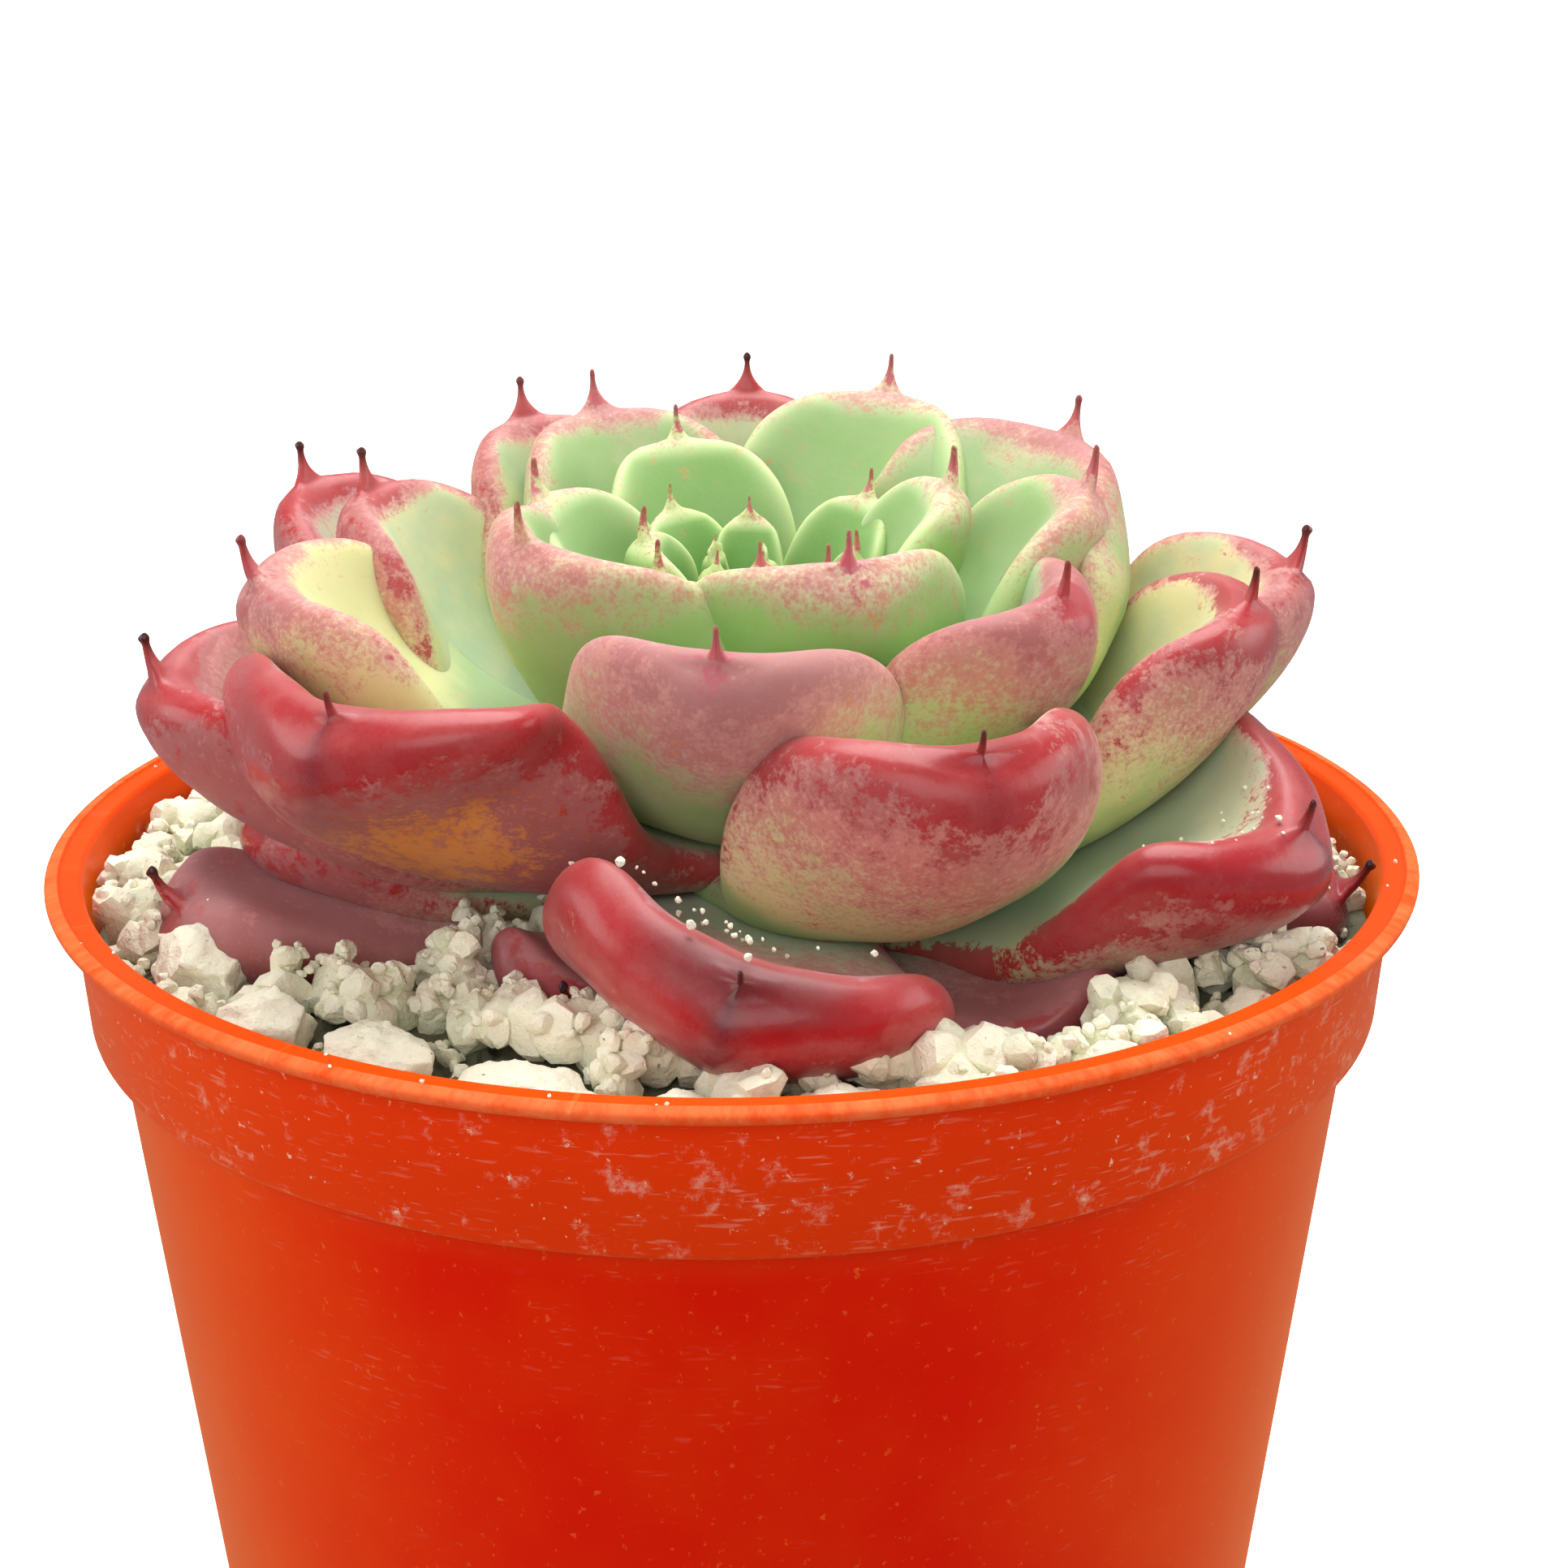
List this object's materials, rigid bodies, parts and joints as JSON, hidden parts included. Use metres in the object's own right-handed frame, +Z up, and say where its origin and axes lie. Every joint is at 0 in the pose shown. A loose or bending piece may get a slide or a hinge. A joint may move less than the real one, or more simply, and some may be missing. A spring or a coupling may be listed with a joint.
{
  "type": "potted succulent",
  "caption": "Rosette succulent with thick, spine-tipped leaves that redden outwards, growing in pumice grit in a tapered plastic nursery pot.",
  "frame": {"origin": "centre of the pot's underside", "axes": "+Z up out of the pot, -Y towards the side that the rosette leans to"},
  "size_m": [0.09, 0.09, 0.1081],
  "materials": {
    "pot_plastic": "semi-gloss moulded plastic, scuffed and dusty",
    "pumice_grit": "rough, matt and porous",
    "stem_skin": "dry, matt",
    "leaf_green": "waxy bloom, satin",
    "leaf_blush": "waxy bloom, satin, blushed pink at the tip",
    "leaf_crimson": "waxy bloom rubbed to a gloss in patches",
    "leaf_maroon": "satin to glossy"
  },
  "bodies": {
    "root": {"nursery_pot": "pot_plastic", "grit_bed": "pumice_grit", "stem": "stem_skin", "leaf_01": "leaf_green", "leaf_02": "leaf_green", "leaf_03": "leaf_green", "leaf_04": "leaf_green", "leaf_05": "leaf_green", "leaf_06": "leaf_green", "leaf_07": "leaf_green", "leaf_08": "leaf_green", "leaf_09": "leaf_green", "leaf_10": "leaf_green", "leaf_11": "leaf_green", "leaf_12": "leaf_green", "leaf_13": "leaf_green", "leaf_14": "leaf_green", "leaf_15": "leaf_green", "leaf_16": "leaf_blush", "leaf_17": "leaf_blush", "leaf_18": "leaf_blush", "leaf_19": "leaf_blush", "leaf_20": "leaf_blush", "leaf_21": "leaf_blush", "leaf_22": "leaf_blush", "leaf_23": "leaf_blush", "leaf_24": "leaf_blush", "leaf_25": "leaf_blush", "leaf_26": "leaf_blush", "leaf_27": "leaf_blush", "leaf_28": "leaf_blush", "leaf_29": "leaf_crimson", "leaf_30": "leaf_crimson", "leaf_31": "leaf_crimson", "leaf_32": "leaf_crimson", "leaf_33": "leaf_crimson", "leaf_34": "leaf_crimson", "leaf_35": "leaf_crimson", "leaf_36": "leaf_crimson", "leaf_37": "leaf_crimson", "leaf_38": "leaf_maroon", "leaf_39": "leaf_maroon", "leaf_40": "leaf_maroon", "leaf_41": "leaf_maroon", "leaf_42": "leaf_maroon", "leaf_43": "leaf_maroon", "leaf_44": "leaf_maroon", "leaf_45": "leaf_maroon", "pumice_stone_01": "pumice_grit", "pumice_stone_02": "pumice_grit", "pumice_stone_03": "pumice_grit", "pumice_stone_04": "pumice_grit", "pumice_stone_05": "pumice_grit", "pumice_stone_06": "pumice_grit", "pumice_stone_07": "pumice_grit", "pumice_stone_08": "pumice_grit", "pumice_stone_09": "pumice_grit", "pumice_stone_10": "pumice_grit"}
  },
  "joints": []
}
